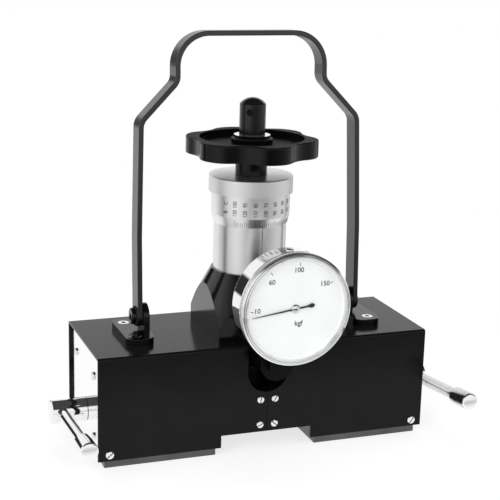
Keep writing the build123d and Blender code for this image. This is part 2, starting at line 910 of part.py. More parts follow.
screw_point = [(0, (piston_bottom + cell_bottom) / 2)]
with BuildPart() as load_piston:
    rod_plane = Plane.XY.offset(piston_bottom)
    extrude(discs(Plane.XY.offset(piston_shoulder), piston_r - run_fit), amount=piston_head)
    extrude(discs(rod_plane, piston_rod_r - run_fit), amount=piston_shoulder - piston_bottom)
    with BuildSketch(Plane.XY.offset(seal_bottom)):
        Circle(piston_r)
        Circle(piston_r - seal_groove, mode=Mode.SUBTRACT)
    extrude(amount=seal_width, mode=Mode.SUBTRACT)
    extrude(discs(rod_plane, holder_shank_r), amount=holder_shank, mode=Mode.SUBTRACT)
    tapped = discs(Plane.YZ, holder_screw_r, screw_point)
    extrude(tapped, amount=2 * piston_rod_r, mode=Mode.SUBTRACT)
save(load_piston, "load_piston")

with BuildPart() as piston_seal:
    with BuildSketch(Plane.XY.offset(seal_bottom)):
        Circle(piston_r)
        Circle(piston_r - seal_groove, mode=Mode.SUBTRACT)
    extrude(amount=seal_width)
save(piston_seal, "piston_seal")

with BuildPart() as indenter_holder:
    profile = [
        (0, nose_z),
        (holder_nose_r, nose_z),
        (holder_r, nose_z + holder_nose),
        (holder_r, piston_bottom),
        (holder_shank_r, piston_bottom),
        (holder_shank_r, piston_bottom + holder_shank),
        (0, piston_bottom + holder_shank),
    ]
    revolve(outline(Plane.XZ, profile), axis=Axis.Z)
    socket = discs(Plane.XY.offset(nose_z), indenter_shank_r)
    extrude(socket, amount=indenter_shank, mode=Mode.SUBTRACT)
save(indenter_holder, "indenter_holder")

with BuildPart() as indenter:
    profile = [
        (0, tip_z),
        (indenter_r, tip_z + indenter_r / tan(radians(indenter_half_angle))),
        (indenter_r, nose_z),
        (indenter_shank_r, nose_z),
        (indenter_shank_r, nose_z + indenter_shank),
        (0, nose_z + indenter_shank),
    ]
    revolve(outline(Plane.XZ, profile), axis=Axis.Z)
save(indenter, "indenter")

with BuildPart() as holder_screw:
    screw_start = Plane.YZ.offset(holder_shank_r)
    screw_length = piston_rod_r - holder_screw_inset - holder_shank_r
    extrude(discs(screw_start, holder_screw_r, screw_point), amount=screw_length)
save(holder_screw, "holder_screw")

with BuildPart() as thrust_ball:
    with Locations((0, 0, ball_z)):
        Sphere(ball_r)
save(thrust_ball, "thrust_ball")

with BuildPart() as spindle_keeper:
    with BuildSketch(Plane.XY.offset(keeper_bottom)):
        Circle(keeper_r)
        Circle(spindle_r + free_gap, mode=Mode.SUBTRACT)
    extrude(amount=cell_top - keeper_bottom)
save(spindle_keeper, "spindle_keeper")

# Gauge: arm, stem, case and works
socket_point = [(0, socket_z)]
with BuildPart() as gauge_arm:
    extrude(discs(front_plane(arm_seat), arm_r, arm_point), amount=arm_front - arm_seat)
    extrude(spigot, amount=-arm_spigot_depth)
    oil_way = discs(front_plane(arm_seat - arm_spigot_depth), oil_r, arm_point)
    extrude(oil_way, amount=arm_front, mode=Mode.SUBTRACT)
save(gauge_arm, "gauge_arm")

with BuildPart() as gauge_stem:
    stem_middle = arm_front + stem_thick / 2
    stem_bottom = arm_z - stem_below
    with BuildSketch(front_plane(arm_front)):
        with Locations((0, stem_bottom)):
            stem_height = gauge_z + stem_above - stem_bottom
            Rectangle(2 * stem_half, stem_height, align=(Align.CENTER, Align.MIN))
    extrude(amount=stem_thick)
    inlet = discs(front_plane(arm_front), oil_r, arm_point)
    extrude(inlet, amount=stem_thick / 2, mode=Mode.SUBTRACT)
    riser = discs(Plane.XY.offset(arm_z), oil_r, [(0, -stem_middle)])
    extrude(riser, amount=socket_z - arm_z, mode=Mode.SUBTRACT)
    outlet = discs(front_plane(stem_middle), oil_r, socket_point)
    extrude(outlet, amount=stem_thick / 2, mode=Mode.SUBTRACT)
save(gauge_stem, "gauge_stem")

case_screw_z = gauge_z + case_r - case_screw_flat
case_screw_point = (0, -(stem_front + case_screw_back))
with BuildPart() as gauge_case:
    profile = [
        (0, -stem_front),
        (case_r, -stem_front),
        (case_r, -case_front),
        (case_r - case_wall, -case_front),
        (case_r - case_wall, -case_floor),
        (0, -case_floor),
    ]
    revolve(outline(gauge_section, profile), axis=gauge_axis)
    fillet(gauge_case.edges().filter_by(GeomType.CIRCLE).sort_by(Axis.Y)[-1], case_wall)
    inlet = discs(front_plane(stem_front), oil_r, socket_point)
    extrude(inlet, amount=case_wall, mode=Mode.SUBTRACT)
    screw_seat = Plane.XY.offset(case_screw_z)
    seat = discs(screw_seat, case_screw_r + screw_clear, [case_screw_point])
    extrude(seat, amount=case_screw_head, mode=Mode.SUBTRACT)
    hole = discs(screw_seat, case_screw_shank_r + run_fit, [case_screw_point])
    extrude(hole, amount=-2 * case_wall, mode=Mode.SUBTRACT)
save(gauge_case, "gauge_case")

top_screw = pan_screw(case_screw_r, case_screw_head, case_screw_shank_r, case_screw_length)
save(fasteners(top_screw, [Plane((*case_screw_point, case_screw_z))]), "case_screw")

with BuildPart() as bourdon_tube:
    tube_y = case_floor + tube_stand + tube_width / 2
    down = Plane((0, 0, gauge_z), x_dir=(0, 0, -1), z_dir=(1, 0, 0))
    with BuildSketch(down):
        with Locations((tube_circle_r, -tube_y)):
            SlotOverall(tube_width, tube_thick, rotation=90)
    revolve(axis=gauge_axis, revolution_arc=tube_sweep_angle)
    with BuildSketch(front_plane(case_floor)):
        with Locations((0, socket_z)):
            Rectangle(2 * socket_half, socket_height)
    extrude(amount=tube_stand + tube_width)
    inlet = discs(front_plane(case_floor), oil_r, socket_point)
    extrude(inlet, amount=tube_stand + tube_width / 2, mode=Mode.SUBTRACT)
save(bourdon_tube, "bourdon_tube")

with BuildPart() as gauge_movement:
    centre = [(0, gauge_z)]
    back = front_plane(case_floor)
    front = front_plane(case_floor + movement_depth - movement_plate)
    extrude(discs(back, movement_r, centre), amount=movement_plate)
    extrude(discs(front, movement_r, centre), amount=movement_plate)
    with BuildSketch(back):
        with Locations((0, gauge_z)):
            with PolarLocations(movement_r - pillar_inset, 3):
                Circle(pillar_r)
    extrude(amount=movement_depth)
    bearing = discs(back, staff_r + run_fit, centre)
    extrude(bearing, amount=movement_depth, mode=Mode.SUBTRACT)
save(gauge_movement, "gauge_movement")

# Bezel, crystal, dial and pointer
with BuildPart() as bezel:
    profile = [
        (bezel_r, -bezel_back),
        (bezel_r, -bezel_front),
        (bezel_lip_r, -bezel_front),
        (bezel_lip_r, -crystal_front),
        (crystal_r, -crystal_front),
        (crystal_r, -flange_back),
        (case_r + run_fit, -flange_back),
        (case_r + run_fit, -bezel_back),
    ]
    revolve(outline(gauge_section, profile), axis=gauge_axis)
    front_edges = bezel.edges().filter_by(GeomType.CIRCLE).group_by(Axis.Y)[0]
    fillet(front_edges, bezel_round)
save(bezel, "bezel")

with BuildPart() as crystal:
    extrude(discs(front_plane(crystal_back), crystal_r, centre), amount=crystal_thick)
save(crystal, "crystal")

with BuildPart() as dial_ring:
    profile = [
        (crystal_r, -crystal_back),
        (crystal_r, -flange_back),
        (dial_r, -flange_back),
        (dial_r, -ring_back),
        (dial_r - ring_back_width, -ring_back),
        (dial_r - ring_front_width, -crystal_back),
    ]
    revolve(outline(gauge_section, profile), axis=gauge_axis)
save(dial_ring, "dial_ring")

with BuildPart() as dial_face:
    with BuildSketch(front_plane(ring_back)):
        with Locations(*centre):
            Circle(dial_r)
            Circle(dial_hole_r, mode=Mode.SUBTRACT)
    extrude(amount=-dial_thick)
save(dial_face, "dial_face")

with BuildPart() as pointer:
    droop = radians(pointer_drop_angle)
    needle = Plane(
        (0, -pointer_back, gauge_z), x_dir=(-cos(droop), 0, -sin(droop)), z_dir=(0, -1, 0)
    )
    with BuildSketch(needle):
        with BuildLine():
            edge = [
                (pointer_length, pointer_tip_half),
                (0, pointer_half),
                (spade_length - pointer_tail, pointer_half),
                (spade_back - pointer_tail, spade_half),
                (-pointer_tail, spade_tip_half),
            ]
            Polyline(*edge, *[(x, -half) for x, half in reversed(edge)], close=True)
        make_face()
    extrude(amount=pointer_thick)
    extrude(discs(needle, pointer_hub_r), amount=pointer_hub_height)
    extrude(discs(needle, staff_r), amount=pointer_thick, mode=Mode.SUBTRACT)
save(pointer, "pointer")

with BuildPart() as pointer_staff:
    staff_back = case_floor + run_fit
    extrude(discs(front_plane(staff_back), staff_r, centre), amount=pointer_front - staff_back)
    pinion = discs(front_plane(case_floor + 2 * movement_plate), pinion_r, centre)
    extrude(pinion, amount=movement_depth - 4 * movement_plate)
save(pointer_staff, "pointer_staff")

# Carrying handle: a bent strip on two pivots, leaning back a little at rest
lean = radians(handle_lean_angle)
pivot = (0, 0, pivot_z)
handle_front = Plane(pivot, x_dir=(1, 0, 0), z_dir=(0, -cos(lean), sin(lean)))
handle_side = Plane(pivot, x_dir=(0, cos(lean), -sin(lean)), z_dir=(1, 0, 0))
with BuildPart() as handle:
    shoulder_x = pivot_x - leg_draw_in
    neck_x = shoulder_x - shoulder_in
    grip_height = shoulder_height + shoulder_rise + grip_rise
    rising = [
        (pivot_x, -strip_width),
        (pivot_x, leg_straight),
        (shoulder_x, shoulder_height),
        (neck_x, shoulder_height + shoulder_rise),
        (neck_x, grip_height),
    ]
    path = rising + [(-x, h) for x, h in reversed(rising)]
    bends = [leg_bend, shoulder_bend, neck_bend, grip_bend]
    with BuildSketch(handle_front):
        with BuildLine():
            FilletPolyline(*path, radius=bends + bends[::-1])
        trace(line_width=strip_thick)
    extrude(amount=strip_width / 2, both=True)
    with BuildSketch(handle_side):
        Circle(strip_width / 2)
        Rectangle(strip_width, grip_height + strip_width, align=(Align.CENTER, Align.MIN))
    extrude(amount=base_length, both=True, mode=Mode.INTERSECT)
    fillet([edge for edge in handle.edges() if edge.length > strip_thick + free_gap], strip_round)
    pivot_hole = discs(handle_side, pivot_r + run_fit)
    extrude(pivot_hole, amount=base_length, both=True, mode=Mode.SUBTRACT)
save(handle, "handle")


def bracket(side):
    """An angle bracket with a round-topped ear for the handle pivot."""
    with BuildPart() as piece:
        with BuildSketch(Plane.XY.offset(cover_top)):
            with Locations((side * (ear_in + bracket_out / 2), 0)):
                Rectangle(bracket_out, bracket_depth)
            fillet(vertices(), bracket_corner)
        extrude(amount=bracket_thick)
        fillet(piece.faces().sort_by(Axis.Z)[-1].edges(), bracket_round)
        with BuildPart(mode=Mode.ADD) as ear:
            with BuildSketch(Plane.YZ.offset(side * ear_in)):
                with Locations((0, pivot_z)):
                    Circle(ear_half)
                    Rectangle(2 * ear_half, pivot_height, align=(Align.CENTER, Align.MAX))
            extrude(amount=side * ear_thick)
            fillet(ear.faces().filter_by(Axis.X).edges().filter_by(Axis.Y, reverse=True), bracket_round)
        pivot_hole = discs(Plane.YZ.offset(side * ear_in), pivot_r, [(0, pivot_z)])
        extrude(pivot_hole, amount=side * ear_thick, mode=Mode.SUBTRACT)
        with Locations(*[(side * bracket_x, end * bracket_screw_y, bracket_top) for end in (-1, 1)]):
            CounterSinkHole(
                bracket_shank_r + run_fit, bracket_head_r + run_fit, counter_sink_angle=90
            )
    return piece


for name, side in sides.items():
    save(bracket(side), f"{name}_bracket")

bracket_screw = flush_screw(bracket_head_r, bracket_shank_r, bracket_screw_length)
save(fasteners(bracket_screw, [Plane((x, y, bracket_top)) for x, y in bracket_points]), "bracket_screws")

pivot_point = [(0, pivot_z)]
head_in = leg_out + pivot_washer_thick
with BuildPart() as pivot_bolts:
    for side in (-1, 1):
        shank_start = Plane.YZ.offset(side * (ear_in - thread_end))
        shank_length = head_in - ear_in + thread_end
        extrude(discs(shank_start, pivot_r, pivot_point), amount=side * shank_length)
        head = discs(Plane.YZ.offset(side * head_in), bolt_head_r, pivot_point)
        extrude(head, amount=side * bolt_head_thick)
save(pivot_bolts, "pivot_bolts")

with BuildPart() as pivot_washers:
    for side in (-1, 1):
        for inner in (ear_out, leg_out):
            with BuildSketch(Plane.YZ.offset(side * inner)):
                with Locations(*pivot_point):
                    Circle(pivot_r + pivot_washer_width)
                    Circle(pivot_r, mode=Mode.SUBTRACT)
            extrude(amount=side * pivot_washer_thick)
save(pivot_washers, "pivot_washers")
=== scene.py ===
"""The looks of a portable hardness tester with a magnetic base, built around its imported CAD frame.

Shapes are worked out in millimetres and turned to metres as they become objects. X runs along the
base, the gauge is at the front, towards -Y, and Z is up from the surface that the base stands on.
"""

import json
import math

import bmesh
import bpy
from mathutils import Matrix, Vector


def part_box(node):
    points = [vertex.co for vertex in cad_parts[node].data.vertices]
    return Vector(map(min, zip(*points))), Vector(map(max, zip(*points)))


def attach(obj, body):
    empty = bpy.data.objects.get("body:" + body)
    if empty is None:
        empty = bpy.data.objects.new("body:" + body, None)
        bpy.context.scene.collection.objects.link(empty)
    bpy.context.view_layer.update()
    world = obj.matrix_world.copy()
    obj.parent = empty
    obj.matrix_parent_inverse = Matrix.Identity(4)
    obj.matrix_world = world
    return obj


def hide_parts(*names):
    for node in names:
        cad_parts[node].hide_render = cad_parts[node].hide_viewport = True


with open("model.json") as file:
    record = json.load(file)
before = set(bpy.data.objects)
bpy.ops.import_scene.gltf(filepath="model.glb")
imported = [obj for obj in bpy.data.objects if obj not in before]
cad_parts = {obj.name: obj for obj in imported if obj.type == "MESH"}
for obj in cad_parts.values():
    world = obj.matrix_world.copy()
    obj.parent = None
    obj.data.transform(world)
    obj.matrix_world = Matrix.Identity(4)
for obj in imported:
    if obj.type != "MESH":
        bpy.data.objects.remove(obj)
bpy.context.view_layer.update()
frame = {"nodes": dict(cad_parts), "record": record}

scene = bpy.context.scene
scene.view_settings.view_transform = "Standard"

MM = 0.001
# Small lengths in millimetres
SLIVER = 0.001  # thinner faces are dissolved
TOUCH = 0.01  # a point this near to a surface counts as on it
OVERSHOOT = 1.0  # how far a cutting tool stands out of what it cuts


# Node helpers
def grey(level):
    """A colour without hue."""
    return (level, level, level)


def greys(*levels):
    """Several colours without hue."""
    return [grey(level) for level in levels]


class Graph:
    """A node tree with a short way to add nodes and wire them."""

    def __init__(self, tree):
        self.tree = tree

    def add(self, kind, inputs=None, **properties):
        """Adds a node. An input that is a socket is linked, any other value is set."""
        node = self.tree.nodes.new("ShaderNode" + kind)
        for key, value in properties.items():
            setattr(node, key, value)
        for key, value in (inputs or {}).items():
            self.put(node.inputs[key], value)
        return node

    def put(self, socket, value):
        """Links a socket to another one, or sets it to a value."""
        if isinstance(value, bpy.types.NodeSocket):
            self.tree.links.new(value, socket)
        else:
            socket.default_value = value

    def math(self, operation, *values):
        """A Math node's result."""
        node = self.add("Math", operation=operation)
        for socket, value in zip(node.inputs, values):
            self.put(socket, value)
        return node.outputs[0]

    def part(self, vector, letter):
        """One coordinate of a vector."""
        return self.add("SeparateXYZ", {"Vector": vector}).outputs[letter]

    def noise(self, place, scale, **more):
        """A noise with about that many features per metre."""
        return self.add("TexNoise", {"Vector": place, "Scale": scale, **more}).outputs["Fac"]

    def spread(self, value, found, wanted):
        """A value that is found in one range, moved to the range that is wanted."""
        ends = {"From Min": found[0], "From Max": found[1], "To Min": wanted[0], "To Max": wanted[1]}
        return self.add("MapRange", {"Value": value, **ends}).outputs["Result"]

    def ramp(self, factor, stops):
        """A colour ramp through (place, colour) stops."""
        node = self.add("ValToRGB", {"Fac": factor})
        elements = node.color_ramp.elements
        while len(elements) < len(stops):
            elements.new(0.5)
        for element, (place, colour) in zip(elements, stops):
            element.position = place
            element.color = (*colour, 1.0)
        return node.outputs["Color"]

    def grey_ramp(self, factor, stops):
        """A ramp through (place, level) stops."""
        return self.ramp(factor, [(place, grey(level)) for place, level in stops])

    def band(self, factor, *places):
        """A ramp that rises from 0 to 1 over the first two of four places and falls over the others."""
        return self.grey_ramp(factor, zip(places, (0.0, 1.0, 1.0, 0.0)))

    def ray_kinds(self):
        """Two values: 1 for a ray that a surface mirrors or lets through, and 1 for the camera's own."""
        rays = self.add("LightPath").outputs
        mirrored = self.math("MAXIMUM", rays["Is Glossy Ray"], rays["Is Transmission Ray"])
        return mirrored, rays["Is Camera Ray"]

    def mixed_surface(self, share, first, second):
        """Makes a share of the second shader and the rest of the first one the material's surface."""
        mix = self.add("MixShader", {0: share, 1: first, 2: second})
        self.put(self.tree.nodes["Material Output"].inputs["Surface"], mix.outputs["Shader"])


# Materials
WHITE = (1.0, 1.0, 1.0, 1.0)
NOISE_RANGE = (0.3, 0.7)  # a noise seldom leaves it
TONE_PLACES = (0.32, 0.68)  # where in a noise's range a surface has its two tones
MOTTLE = 45.0  # features per metre of the drift between those tones
DUST_RANGE = (0.5, 0.95)  # the upward part of a face's normal where dust begins and is full


def new_material(name):
    """A material with a Principled shader, and its graph."""
    material = bpy.data.materials.new(name)
    material.use_nodes = True
    return material, Graph(material.node_tree)


def bare_material(name):
    """A material without a shader, and its graph."""
    material, graph = new_material(name)
    graph.tree.nodes.remove(graph.tree.nodes["Principled BSDF"])
    return material, graph


def tones(graph, noise, colours):
    """A drift between two colours over the middle of a noise's range."""
    return graph.ramp(noise, list(zip(TONE_PLACES, colours)))


def ring_place(graph, place):
    """A place as its distance from the Z axis and its height, which makes a grain run in rings."""
    flat = graph.add("VectorMath", {0: place, 1: (1.0, 1.0, 0.0)}, operation="MULTIPLY")
    radius = graph.add("VectorMath", {0: flat.outputs["Vector"]}, operation="LENGTH")
    rings = graph.add("CombineXYZ", {"X": radius.outputs["Value"], "Z": graph.part(place, "Z")})
    return rings.outputs["Vector"]


def finish(
    name,
    colours,
    rough,
    grain,
    stretch=(1.0, 1.0, 1.0),
    turned=False,
    bump=0.1,
    depth=0.02,
    dust=0.0,
    matt=None,
    metallic=0.0,
    specular=0.5,
    anisotropic=0.0,
    rotation=0.0,
):
    """A surface whose colour drifts between two tones and whose roughness and bump follow one grain.

    grain is in features per metre and depth in millimetres. A turned surface has its grain in rings
    about the Z axis. On others, stretch multiplies the grain along each axis. dust is roughness added
    on faces that look up, and matt is roughness added between two heights in millimetres, as
    (low, high, added). The last four values go to the shader as they are.
    """
    material, graph = new_material(name)
    shader = graph.tree.nodes["Principled BSDF"]
    place = graph.add("TexCoord").outputs["Object"]
    if turned:
        grain_place = ring_place(graph, place)
        tangent = graph.add("Tangent", direction_type="RADIAL", axis="Z")
        graph.put(shader.inputs["Tangent"], tangent.outputs["Tangent"])
    else:
        grain_place = graph.add("Mapping", {"Vector": place, "Scale": stretch}).outputs["Vector"]
    fine = graph.noise(grain_place, grain, Detail=4.0, Roughness=0.6)
    broad = graph.noise(place, MOTTLE, Detail=3.0)
    graph.put(shader.inputs["Base Color"], tones(graph, broad, colours))
    roughness = graph.spread(fine, NOISE_RANGE, rough)
    if dust:
        upward = graph.part(graph.add("NewGeometry").outputs["Normal"], "Z")
        roughness = graph.math("ADD", roughness, graph.spread(upward, DUST_RANGE, (0.0, dust)))
    if matt:
        low, high, added = matt
        height = graph.part(place, "Z")
        inside = graph.math("COMPARE", height, (low + high) / 2 * MM, (high - low) / 2 * MM)
        roughness = graph.math("MULTIPLY_ADD", inside, added, roughness)
    graph.put(shader.inputs["Roughness"], roughness)
    relief = graph.add("Bump", {"Strength": bump, "Distance": depth * MM, "Height": fine})
    graph.put(shader.inputs["Normal"], relief.outputs["Normal"])
    shader.inputs["Metallic"].default_value = metallic
    shader.inputs["Specular IOR Level"].default_value = specular
    shader.inputs["Anisotropic"].default_value = anisotropic
    shader.inputs["Anisotropic Rotation"].default_value = rotation
    return material


def clear_glass(
    name,
    tint=(0.98, 0.985, 0.985),
    smear=90.0,
    blur=0.05,
    straight=0.03,
    slanting=0.9,
    slant_power=5.0,
):
    """Flat clear glass that mirrors a little straight on and more at a slant.

    smear is in features per metre, and blur is the roughness where a smear is at its strongest.
    straight is the mirrored share straight on, and slanting is what a slant adds to it.
    """
    material, graph = bare_material(name)
    place = graph.add("TexCoord").outputs["Object"]
    smears = graph.noise(place, smear, Detail=2.0)
    through = graph.add("BsdfTransparent", {"Color": (*tint, 1.0)})
    mirror = graph.add("BsdfGlossy", {"Roughness": graph.spread(smears, NOISE_RANGE, (0.0, blur))})
    slant = graph.add("LayerWeight", {"Blend": 0.5}).outputs["Facing"]
    steep = graph.math("POWER", slant, slant_power)
    share = graph.math("MULTIPLY_ADD", steep, slanting, straight)
    graph.mixed_surface(share, through.outputs["BSDF"], mirror.outputs["BSDF"])
    return material


# Features per metre along X, Y and Z, used with a grain of 1
ground_grain = (25.0, 25.0, 1400.0)
milled_grain = (60.0, 900.0, 900.0)

materials = {
    "cover_black": finish(
        "satin_paint", greys(0.0032, 0.0044), rough=(0.13, 0.19), grain=1500.0,
        bump=0.05, depth=0.005, specular=0.15,
    ),
    "gloss_black": finish(
        "gloss_lacquer", greys(0.002, 0.003), rough=(0.10, 0.18), grain=700.0,
        bump=0.05, depth=0.008, specular=0.55,
    ),
    "handle_black": finish(
        "handle_paint", greys(0.003, 0.0045), rough=(0.23, 0.3), grain=1300.0,
        bump=0.03, depth=0.005, specular=0.72,
    ),
    "wheel_black": finish(
        "polished_black", greys(0.0015, 0.0025), rough=(0.12, 0.2), grain=900.0,
        bump=0.05, depth=0.008, dust=0.45, specular=0.25,
    ),
    "dark_steel": finish(
        "blackened_steel", greys(0.003, 0.005), rough=(0.14, 0.22), grain=4000.0, turned=True,
        bump=0.04, depth=0.002, specular=0.45,
    ),
    "chrome": finish(
        "polished_chrome", greys(0.86, 0.90), rough=(0.03, 0.07), grain=700.0,
        bump=0.01, depth=0.002, metallic=1.0,
    ),
    "nickel": finish(
        "polished_plate", greys(0.94, 0.97), rough=(0.06, 0.12), grain=700.0, stretch=(1.0, 0.05, 1.0),
        bump=0.04, depth=0.006, metallic=1.0,
    ),
    "bright_screw": finish(
        "bright_plating", greys(0.84, 0.90), rough=(0.10, 0.2), grain=900.0,
        bump=0.06, depth=0.006, metallic=1.0,
    ),
    "dark_screw": finish(
        "black_oxide", greys(0.05, 0.09), rough=(0.3, 0.45), grain=1400.0, bump=0.1, metallic=0.6,
    ),
    "pole_steel": finish(
        "ground_steel", greys(0.09, 0.13), rough=(0.3, 0.48), grain=1.0, stretch=ground_grain,
        bump=0.25, depth=0.01, metallic=1.0,
    ),
    "satin_steel": finish(
        "satin_chrome", greys(0.78, 0.82), rough=(0.28, 0.34), grain=9000.0, turned=True,
        bump=0.02, depth=0.001, metallic=1.0, anisotropic=0.3, rotation=0.25,
    ),
    "inner_steel": finish(
        "turned_steel", greys(0.5, 0.58), rough=(0.22, 0.36), grain=1800.0, turned=True,
        bump=0.1, depth=0.008, metallic=1.0, anisotropic=0.4,
    ),
    "magnet": finish(
        "magnet_alloy", greys(0.14, 0.2), rough=(0.4, 0.55), grain=900.0, bump=0.2, metallic=0.8,
    ),
    "chassis": finish(
        "milled_aluminium", greys(0.62, 0.72), rough=(0.3, 0.42), grain=1.0, stretch=milled_grain,
        bump=0.15, depth=0.01, metallic=1.0,
    ),
    "brass": finish(
        "machined_brass", ((0.62, 0.44, 0.17), (0.72, 0.53, 0.24)), rough=(0.2, 0.34), grain=1200.0,
        bump=0.08, depth=0.008, metallic=1.0,
    ),
    "seal": finish(
        "moulded_rubber", greys(0.014, 0.022), rough=(0.6, 0.75), grain=1600.0, bump=0.2,
    ),
    "fibre": finish(
        "pressed_fibre", ((0.010, 0.009, 0.008), (0.017, 0.015, 0.013)), rough=(0.7, 0.85), grain=2200.0,
        bump=0.4,
    ),
    "glass": clear_glass("clear_glass"),
    "dial_white": finish(
        "white_enamel", greys(0.86, 0.9), rough=(0.3, 0.42), grain=1800.0, bump=0.05, depth=0.005,
    ),
    "pointer_black": finish(
        "black_print", greys(0.012, 0.02), rough=(0.42, 0.55), grain=2500.0, bump=0.1, depth=0.005,
    ),
}

# Pieces whose finish differs from the rest of their slot
dull_lacquer = finish(
    "dull_lacquer", greys(0.0015, 0.0022), rough=(0.3, 0.4), grain=900.0,
    bump=0.05, depth=0.008, specular=0.12,
)
bracket_lacquer = finish(
    "bracket_lacquer", greys(0.0015, 0.0022), rough=(0.12, 0.18), grain=900.0,
    bump=0.05, depth=0.008, specular=0.3,
)
# Dark metal in the slots and sockets of screws: painted shade where their hollows are shaded
painted_slot_shade = finish(
    "painted_slot_shade", greys(0.02, 0.05), rough=(0.45, 0.65), grain=2500.0, bump=0.2, metallic=0.5,
)
# The right lever's chrome is a darker copy of the left one's: painted shade for the dimmer reflections it
# shows
shaded_chrome = finish(
    "shaded_chrome", greys(0.60, 0.72), rough=(0.12, 0.22), grain=700.0,
    bump=0.015, depth=0.002, metallic=1.0,
)
# Rougher chrome on the knob ends; its paler colour is a painted highlight
knob_end_chrome = finish(
    "knob_end_chrome", greys(0.93, 0.97), rough=(0.2, 0.28), grain=900.0,
    bump=0.015, depth=0.002, metallic=1.0,
)
# The drum's upper ring, by its heights, is rougher than the band with the scales
drum_ring_low, drum_ring_high, drum_ring_rough = 191.1, 203.3, 0.14
blasted_chrome = finish(
    "blasted_chrome", greys(0.86, 0.90), rough=(0.30, 0.36), grain=9000.0, turned=True,
    bump=0.02, depth=0.001, matt=(drum_ring_low, drum_ring_high, drum_ring_rough), metallic=1.0,
)
own_looks = {
    "right_rod": shaded_chrome,
    "drum": blasted_chrome,
    "gauge_arm": dull_lacquer,
    "gauge_stem": dull_lacquer,
    "load_cell": dull_lacquer,
    "left_bracket": bracket_lacquer,
    "right_bracket": bracket_lacquer,
}

# Each CAD node has a look of its own or its slot's
for row in frame["record"]["subparts"]:
    node = frame["nodes"][row["node"]]
    node.data.materials.clear()
    node.data.materials.append(own_looks.get(row["node"], materials[row["material_slot"]]))


# Mesh helpers
FRONT, BACK = (0, -1, 0), (0, 1, 0)
LEFT, RIGHT = (-1, 0, 0), (1, 0, 0)
UP = (0, 0, 1)
# How many sides a turned shape has
FLOOR_SIDES, LARGE_SIDES, SCREW_SIDES, SMALL_SIDES = 96, 64, 48, 32
CURVE_STEPS = 6  # of each bend in a printed character
WELD = 1e-5  # points this near are one, in a font's own unit


def span(node):
    """The lowest and highest corner of a CAD node, in millimetres."""
    low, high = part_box(node)
    return Vector(low) / MM, Vector(high) / MM


def spin(degrees):
    """A turn about Z."""
    return Matrix.Rotation(math.radians(degrees), 4, "Z")


def facing(origin, out, across):
    """The placing of a shape whose Z points out of a face and whose X runs across it."""
    z = Vector(out).normalized()
    x = Vector(across).normalized()
    turn = Matrix((x, z.cross(x), z)).transposed().to_4x4()
    return Matrix.Translation(Vector(origin)) @ turn


def rounded(points, steps=5):
    """A closed profile whose points with a third value are rounded off by that radius."""
    out = []
    for i, point in enumerate(points):
        here = Vector(point[:2])
        if len(point) == 2:
            out.append(tuple(here))
            continue
        before = (Vector(points[i - 1][:2]) - here).normalized()
        after = (Vector(points[(i + 1) % len(points)][:2]) - here).normalized()
        half = before.angle(after) / 2
        centre = here + (before + after).normalized() * point[2] / math.sin(half)
        reach = point[2] / math.tan(half)
        start = here + before * reach - centre
        end = here + after * reach - centre
        # A slerp gives unit vectors
        out += [tuple(centre + point[2] * start.slerp(end, k / steps)) for k in range(steps + 1)]
    return out


def lathe(profile, around=LARGE_SIDES, ring=False, wave=None):
    """A solid turned about Z from (radius, height) points, or a ring if its profile closes.

    wave gives each row of the profile its own change of radius by the step round the axis.
    """
    bm = bmesh.new()
    rows = []
    for k, (radius, height) in enumerate(profile):
        if radius < SLIVER:
            rows.append([bm.verts.new((0, 0, height))])
            continue
        row = []
        for i in range(around):
            angle = 2 * math.pi * i / around
            r = radius + (wave(k, i) if wave else 0)
            row.append(bm.verts.new((r * math.cos(angle), r * math.sin(angle), height)))
        rows.append(row)
    pairs = list(zip(rows, rows[1:]))
    if ring:
        pairs.append((rows[-1], rows[0]))
    for low, high in pairs:
        for i in range(around):
            j = (i + 1) % around
            corners = (low[i % len(low)], low[j % len(low)], high[j % len(high)], high[i % len(high)])
            corners = list(dict.fromkeys(corners))
            if len(corners) > 2:
                bm.faces.new(corners)
    bmesh.ops.recalc_face_normals(bm, faces=bm.faces)
    return bm


def prism(outline, low, high):
    """A solid with an (x, y) outline between two heights."""
    bm = bmesh.new()
    floor = [bm.verts.new((x, y, low)) for x, y in outline]
    roof = [bm.verts.new((x, y, high)) for x, y in outline]
    bm.faces.new(floor)
    bm.faces.new(roof)
    for i in range(len(outline)):
        j = (i + 1) % len(outline)
        bm.faces.new((floor[i], floor[j], roof[j], roof[i]))
    bmesh.ops.recalc_face_normals(bm, faces=bm.faces)
    return bm


def rectangle(width, height, x=0.0, y=0.0):
    """A rectangle about a point."""
    w, h = width / 2, height / 2
    return [(x - w, y - h), (x + w, y - h), (x + w, y + h), (x - w, y + h)]


def hexagon(flats):
    """A hexagon by its size across flats."""
    r = flats / math.sqrt(3)
    return [(r * math.cos(k * math.pi / 3), r * math.sin(k * math.pi / 3)) for k in range(6)]


def to_mesh(name, bm):
    """A mesh of a shape, which it uses up."""
    mesh = bpy.data.meshes.new(name)
    bm.to_mesh(mesh)
    bm.free()
    return mesh


def new_object(name, data):
    """An object in the scene."""
    obj = bpy.data.objects.new(name, data)
    scene.collection.objects.link(obj)
    return obj


def joined(bms):
    """Several shapes in one."""
    whole = bmesh.new()
    for bm in bms:
        mesh = to_mesh("joined", bm)
        whole.from_mesh(mesh)
        bpy.data.meshes.remove(mesh)
    return whole


def placed(bm, *places):
    """Copies of a shape at each placing, in one."""
    copies = []
    for place in places:
        copy = bm.copy()
        copy.transform(place)
        copies.append(copy)
    bm.free()
    return joined(copies)


